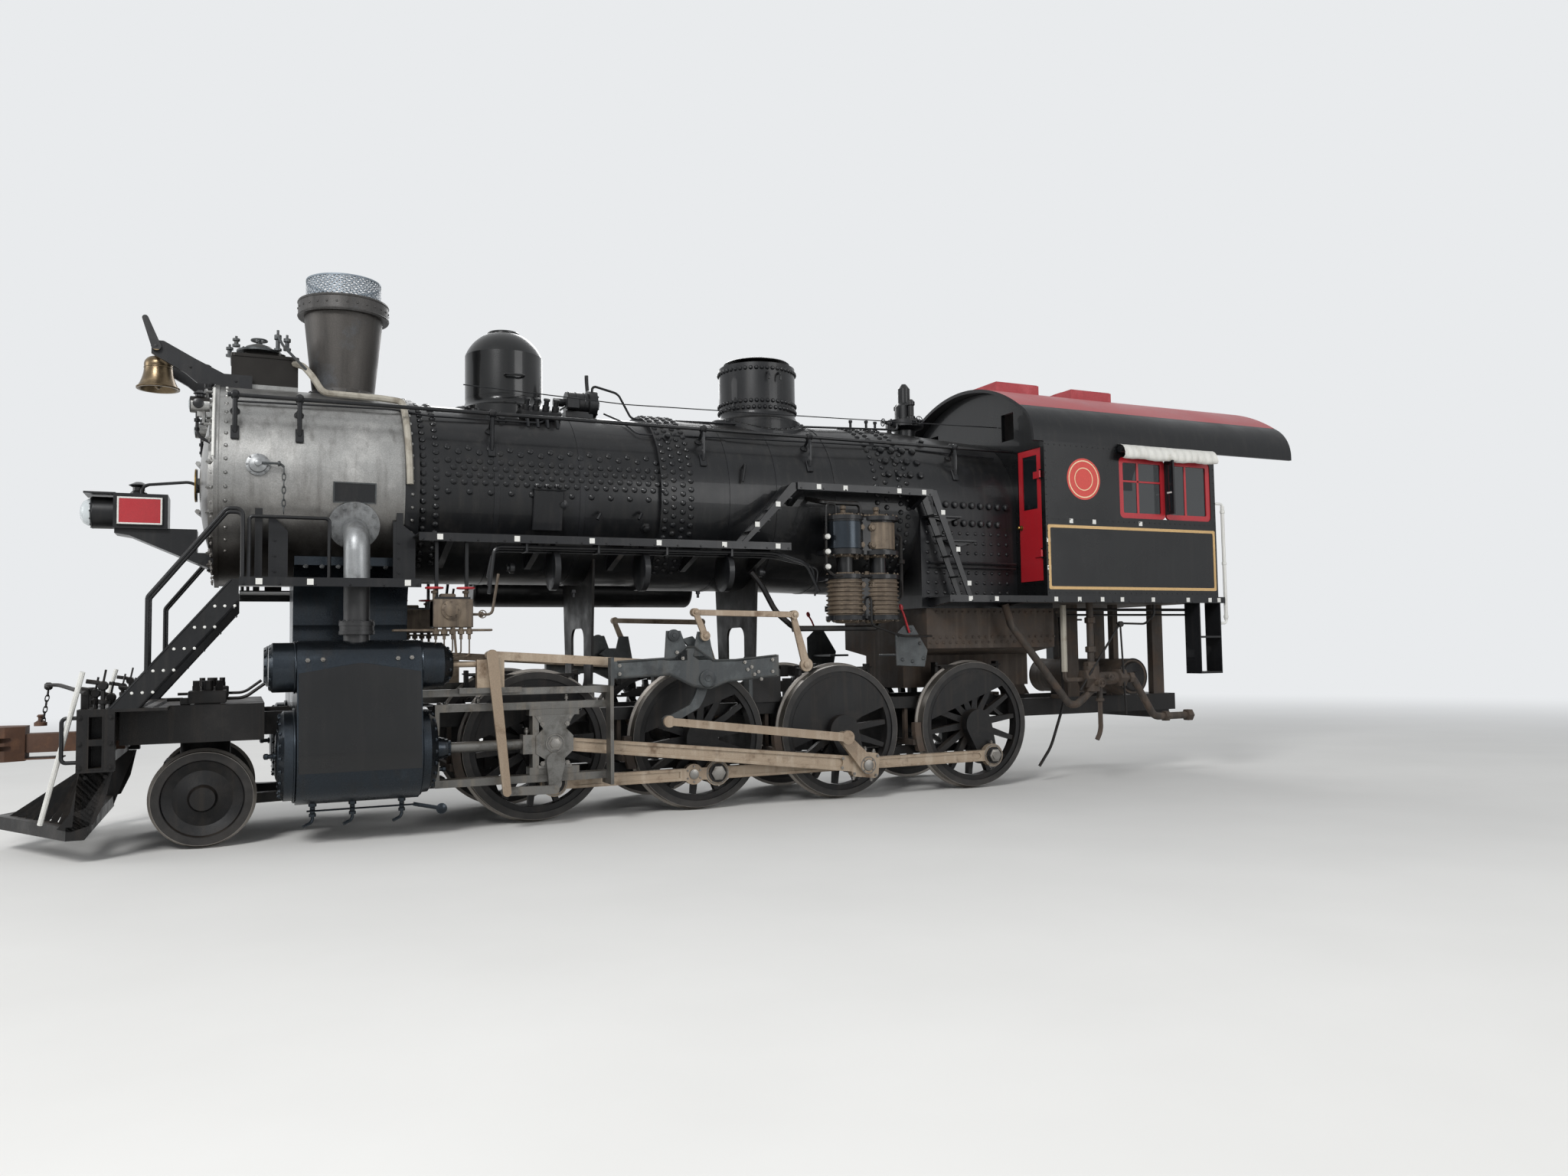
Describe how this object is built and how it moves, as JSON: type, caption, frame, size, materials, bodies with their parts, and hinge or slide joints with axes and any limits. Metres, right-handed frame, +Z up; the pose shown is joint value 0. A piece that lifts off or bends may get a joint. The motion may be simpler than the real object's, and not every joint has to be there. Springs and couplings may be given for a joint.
{
  "type": "steam locomotive",
  "caption": "Standard-gauge freight steam locomotive without its tender: coupled spoked drivers, rods and valve gear, leading truck, boiler, domes, bell and enclosed cab.",
  "frame": {"origin": "centre of the bounding box on the floor under the wheels", "axes": "-X towards the front coupler, +Z up, +Y to the right side of the engine as it faces forward"},
  "size_m": [14.548, 3.28, 5.376],
  "materials": {
    "body_black": "satin",
    "smokebox_grey": "matt",
    "wheel_black": "satin",
    "bare_steel": "oiled and lightly rusted",
    "bell_metal": "satin",
    "red_paint": "satin",
    "roof_red": "matt",
    "rusty_steel": "rusty",
    "coupler_brown": "rusty",
    "seat_leather": "worn",
    "brass_fittings": "dull"
  },
  "bodies": {
    "locomotive": {"air_compressor": "body_black", "air_reservoir": "body_black", "ash_pan": "rusty_steel", "axle_boxes": "wheel_black", "backhead_fittings": "brass_fittings", "bell_bracket": "body_black", "boiler_barrel": "body_black", "brake_gear": "rusty_steel", "cab_floor": "rusty_steel", "cab_front_wall": "body_black", "cab_roof": "body_black", "cab_sides": "body_black", "coupler": "coupler_brown", "cylinder_covers": "body_black", "cylinders": "body_black", "eccentric_rods": "bare_steel", "expansion_links": "bare_steel", "firebox": "body_black", "front_deck": "body_black", "gear_frame": "body_black", "generator": "body_black", "guides": "bare_steel", "handrails": "body_black", "headlight": "body_black", "injectors": "body_black", "main_frame": "wheel_black", "pilot": "body_black", "pilot_beam": "body_black", "rear_steps": "body_black", "reverse_gear": "body_black", "roof_hatches": "roof_red", "running_boards": "body_black", "safety_turret": "body_black", "sand_dome": "body_black", "seats": "seat_leather", "smokebox": "smokebox_grey", "smokebox_front": "smokebox_grey", "smokestack": "smokebox_grey", "stairs": "body_black", "steam_dome": "body_black", "steam_pipes": "body_black", "valve_levers": "bare_steel", "window_awnings": "body_black", "window_sashes": "red_paint"},
    "driver_1": {"driving_wheels_1": "wheel_black"},
    "driver_2": {"driving_wheels_2": "wheel_black"},
    "driver_3": {"driving_wheels_3": "wheel_black"},
    "driver_4": {"driving_wheels_4": "wheel_black"},
    "side_rod_left": {"side_rod_left": "bare_steel"},
    "crosshead_left": {"crosshead_left": "bare_steel"},
    "main_rod_left": {"main_rod_left": "bare_steel"},
    "side_rod_right": {"side_rod_right": "bare_steel"},
    "crosshead_right": {"crosshead_right": "bare_steel"},
    "main_rod_right": {"main_rod_right": "bare_steel"},
    "lead_truck": {"lead_truck": "wheel_black"},
    "lead_wheels": {"lead_wheels": "wheel_black"},
    "bell": {"bell": "bell_metal"},
    "coupler_knuckle": {"coupler_knuckle": "coupler_brown"},
    "cab_door_left": {"cab_door_left": "red_paint"},
    "cab_door_right": {"cab_door_right": "red_paint"}
  },
  "joints": [
    {"name": "driver_3_spin", "type": "hinge", "parent": "locomotive", "child": "driver_3", "pos_m": [0.904, 0, 0.7494], "axis": [0, 1, 0], "continuous": true},
    {"name": "driver_1_spin", "type": "hinge", "parent": "locomotive", "child": "driver_1", "pos_m": [-2.474, 0, 0.7494], "axis": [0, 1, 0], "continuous": true},
    {"name": "driver_2_spin", "type": "hinge", "parent": "locomotive", "child": "driver_2", "pos_m": [-0.772, 0, 0.7494], "axis": [0, 1, 0], "continuous": true},
    {"name": "driver_4_spin", "type": "hinge", "parent": "locomotive", "child": "driver_4", "pos_m": [2.682, 0, 0.7494], "axis": [0, 1, 0], "continuous": true},
    {"name": "side_rod_left_turn", "type": "hinge", "parent": "driver_3", "child": "side_rod_left", "pos_m": [1.03431, -0.949, 0.39138], "axis": [0, 1, 0], "continuous": true},
    {"name": "crosshead_left_slide", "type": "slide", "parent": "locomotive", "child": "crosshead_left", "axis": [1, 0, 0], "range_m": [-0.5342, 0.2278]},
    {"name": "main_rod_left_swing", "type": "hinge", "parent": "crosshead_left", "child": "main_rod_left", "pos_m": [-2.38856, -1.082, 0.79], "axis": [0, 1, 0], "range_deg": [-12.3, 0.39]},
    {"name": "side_rod_right_turn", "type": "hinge", "parent": "driver_3", "child": "side_rod_right", "pos_m": [1.26202, 0.949, 0.87971], "axis": [0, 1, 0], "continuous": true},
    {"name": "crosshead_right_slide", "type": "slide", "parent": "locomotive", "child": "crosshead_right", "axis": [1, 0, 0], "range_m": [-0.74, 0.022]},
    {"name": "main_rod_right_swing", "type": "hinge", "parent": "crosshead_right", "child": "main_rod_right", "pos_m": [-2.18281, 1.082, 0.79], "axis": [0, 1, 0], "range_deg": [-4.18, 8.52]},
    {"name": "lead_truck_swivel", "type": "hinge", "parent": "locomotive", "child": "lead_truck", "pos_m": [-3.354, 0, 0.375], "axis": [0, 0, 1], "range_deg": [-4.5, 4.5]},
    {"name": "lead_wheels_spin", "type": "hinge", "parent": "lead_truck", "child": "lead_wheels", "pos_m": [-5.396, 0, 0.4319], "axis": [0, 1, 0], "continuous": true},
    {"name": "bell_swing", "type": "hinge", "parent": "locomotive", "child": "bell", "pos_m": [-5.83, 0, 4.5], "axis": [0, 1, 0], "range_deg": [-30, 30]},
    {"name": "knuckle_swing", "type": "hinge", "parent": "locomotive", "child": "coupler_knuckle", "pos_m": [-7.084, 0.118, 0.93], "axis": [0, 0, 1], "range_deg": [-50, 0]},
    {"name": "cab_door_left_hinge", "type": "hinge", "parent": "locomotive", "child": "cab_door_left", "pos_m": [3.237, -1.436, 3.18], "axis": [0, 0, 1], "range_deg": [0, 100]},
    {"name": "cab_door_right_hinge", "type": "hinge", "parent": "locomotive", "child": "cab_door_right", "pos_m": [3.237, 1.436, 3.18], "axis": [0, 0, 1], "range_deg": [-100, 0]}
  ],
  "couplings": [
    {"joint": "driver_1_spin", "follows": "driver_3_spin", "ratio": 1},
    {"joint": "driver_2_spin", "follows": "driver_3_spin", "ratio": 1},
    {"joint": "driver_4_spin", "follows": "driver_3_spin", "ratio": 1},
    {"joint": "side_rod_left_turn", "follows": "driver_3_spin", "ratio": -1},
    {"joint": "side_rod_right_turn", "follows": "driver_3_spin", "ratio": -1}
  ]
}
